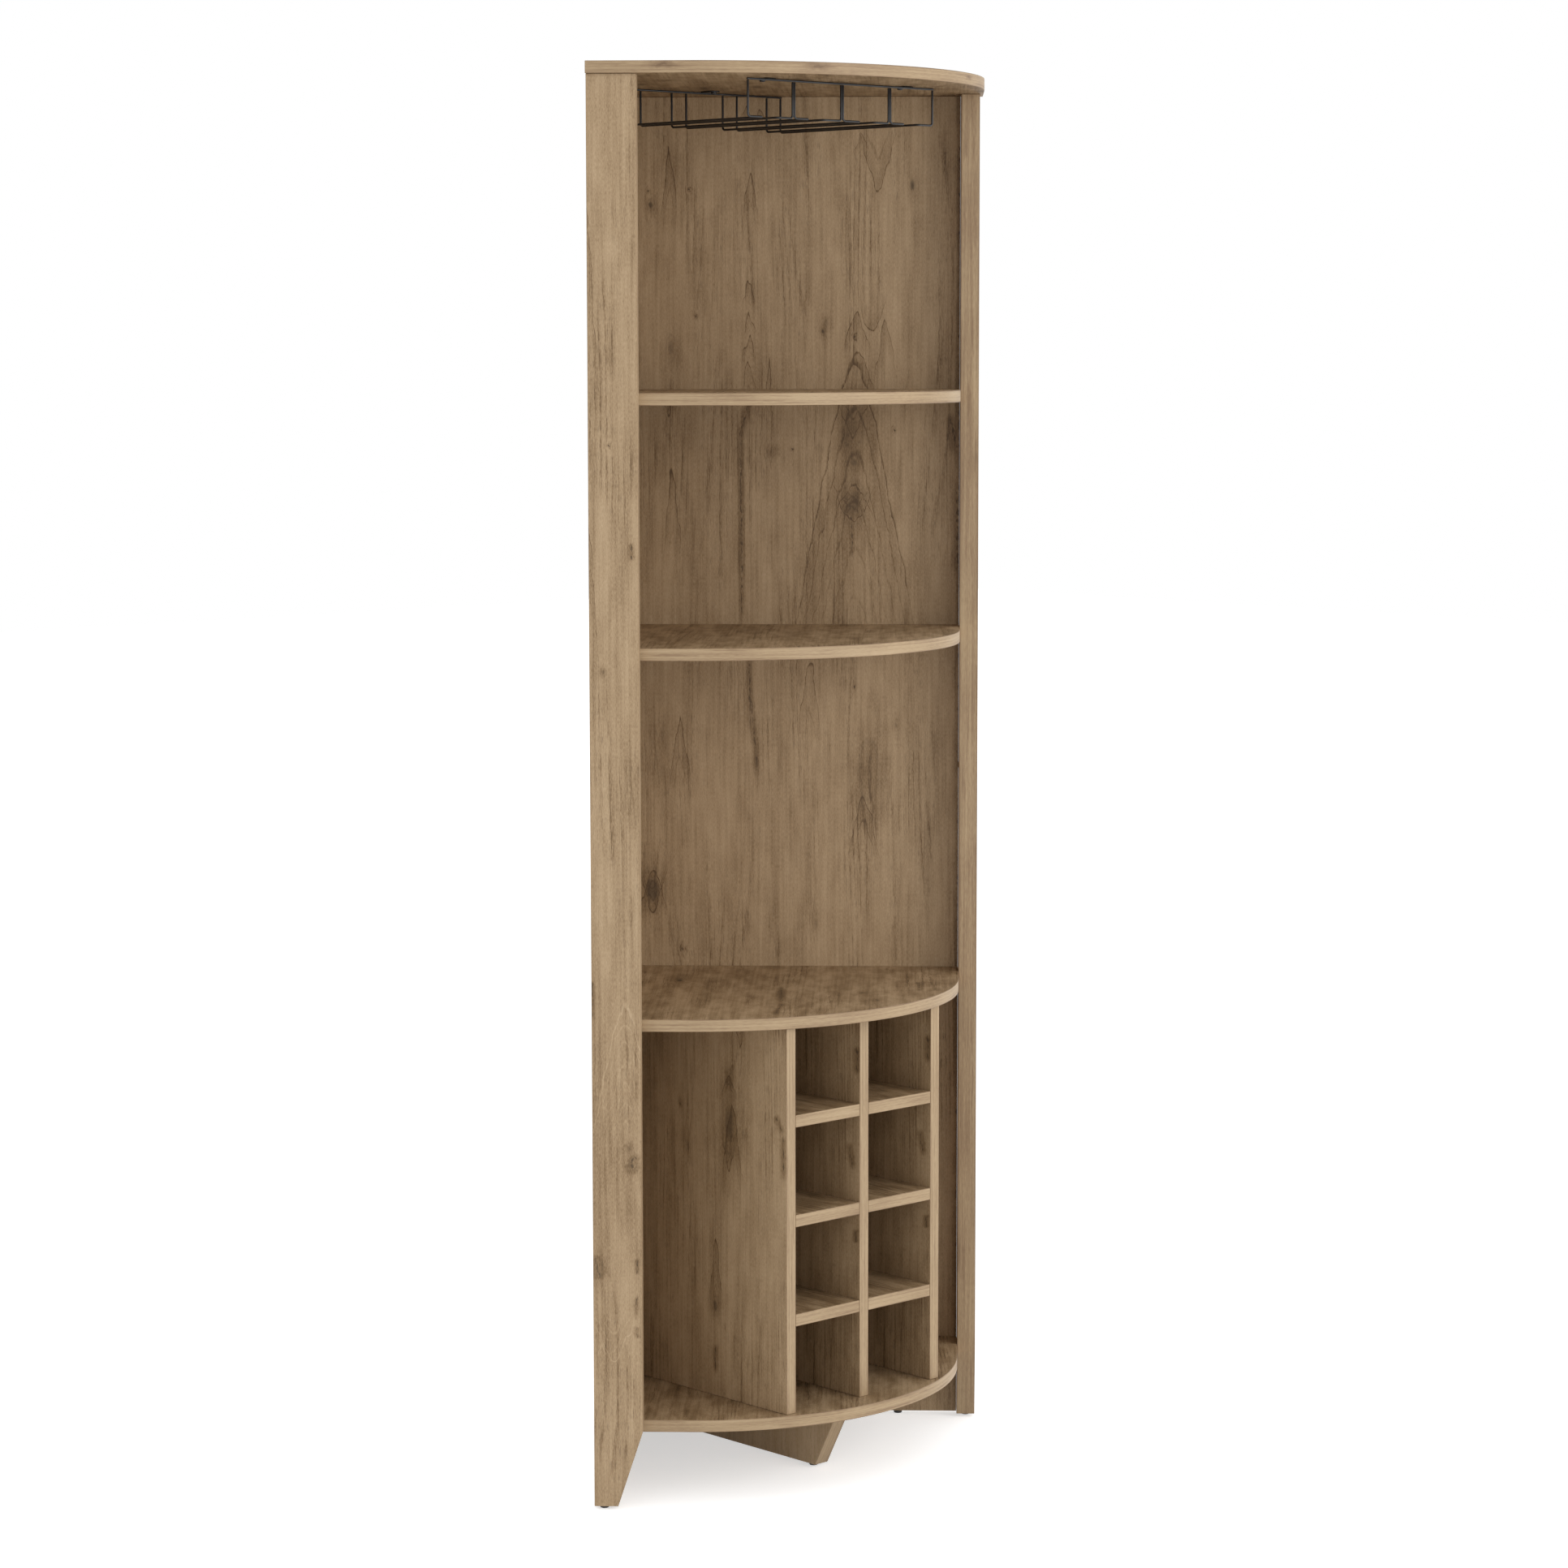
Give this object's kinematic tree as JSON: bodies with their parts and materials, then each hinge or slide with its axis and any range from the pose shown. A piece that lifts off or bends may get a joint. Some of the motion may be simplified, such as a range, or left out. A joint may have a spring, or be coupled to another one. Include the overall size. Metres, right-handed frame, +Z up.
{
  "type": "corner bar cabinet",
  "caption": "Tall corner bar cabinet with quarter-round open shelves, a bottle rack of square cubbies, a wire rack for stemmed glasses and tapered feet.",
  "frame": {"origin": "on the floor, under the middle of the box around the cabinet", "axes": "+Z up; the back corner lies towards +Y and the curved front faces -Y, so the two outer wall faces look along (-1, 1, 0) and (1, 1, 0)"},
  "size_m": [0.6946, 0.5414, 1.8048],
  "materials": {
    "oak_board": "knotty light oak decor on board, matt",
    "black_wire": "black powder coat, satin",
    "bright_steel": "zinc plated",
    "cast_zinc": "as cast",
    "beech": "fluted dowel, raw",
    "dark_nylon": "moulded, matt"
  },
  "bodies": {
    "root": {"bottom_shelf": "oak_board", "cam_bolt_left": "bright_steel", "cam_bolt_right": "bright_steel", "cam_lock_left": "cast_zinc", "cam_lock_right": "cast_zinc", "centre_leg": "oak_board", "dowel_stile_left": "beech", "dowel_stile_right": "beech", "dowel_top_left": "beech", "dowel_top_right": "beech", "glass_rail_front": "black_wire", "glass_rail_rear": "black_wire", "glass_wire_1": "black_wire", "glass_wire_2": "black_wire", "glass_wire_3": "black_wire", "glass_wire_4": "black_wire", "glass_wire_5": "black_wire", "glass_wire_6": "black_wire", "glass_wire_7": "black_wire", "glass_wire_8": "black_wire", "glide_centre_leg": "dark_nylon", "glide_corner_left": "dark_nylon", "glide_corner_right": "dark_nylon", "glide_stile_left": "dark_nylon", "glide_stile_right": "dark_nylon", "glide_wall_left": "dark_nylon", "glide_wall_right": "dark_nylon", "lower_shelf": "oak_board", "middle_shelf": "oak_board", "rack_divider_left": "oak_board", "rack_divider_middle": "oak_board", "rack_divider_right": "oak_board", "rack_shelf_left_1": "oak_board", "rack_shelf_left_2": "oak_board", "rack_shelf_left_3": "oak_board", "rack_shelf_right_1": "oak_board", "rack_shelf_right_2": "oak_board", "rack_shelf_right_3": "oak_board", "screw_bottom_shelf_left": "bright_steel", "screw_bottom_shelf_right": "bright_steel", "screw_corner_1": "bright_steel", "screw_corner_2": "bright_steel", "screw_lower_shelf_left": "bright_steel", "screw_lower_shelf_right": "bright_steel", "screw_middle_shelf_left": "bright_steel", "screw_middle_shelf_right": "bright_steel", "screw_upper_shelf_left": "bright_steel", "screw_upper_shelf_right": "bright_steel", "stile_left": "oak_board", "stile_right": "oak_board", "tab_front_left": "black_wire", "tab_front_right": "black_wire", "tab_rear": "black_wire", "tab_screw_front_left": "black_wire", "tab_screw_front_right": "black_wire", "tab_screw_rear": "black_wire", "top_panel": "oak_board", "upper_shelf": "oak_board", "wall_panel_left": "oak_board", "wall_panel_right": "oak_board"}
  },
  "joints": []
}
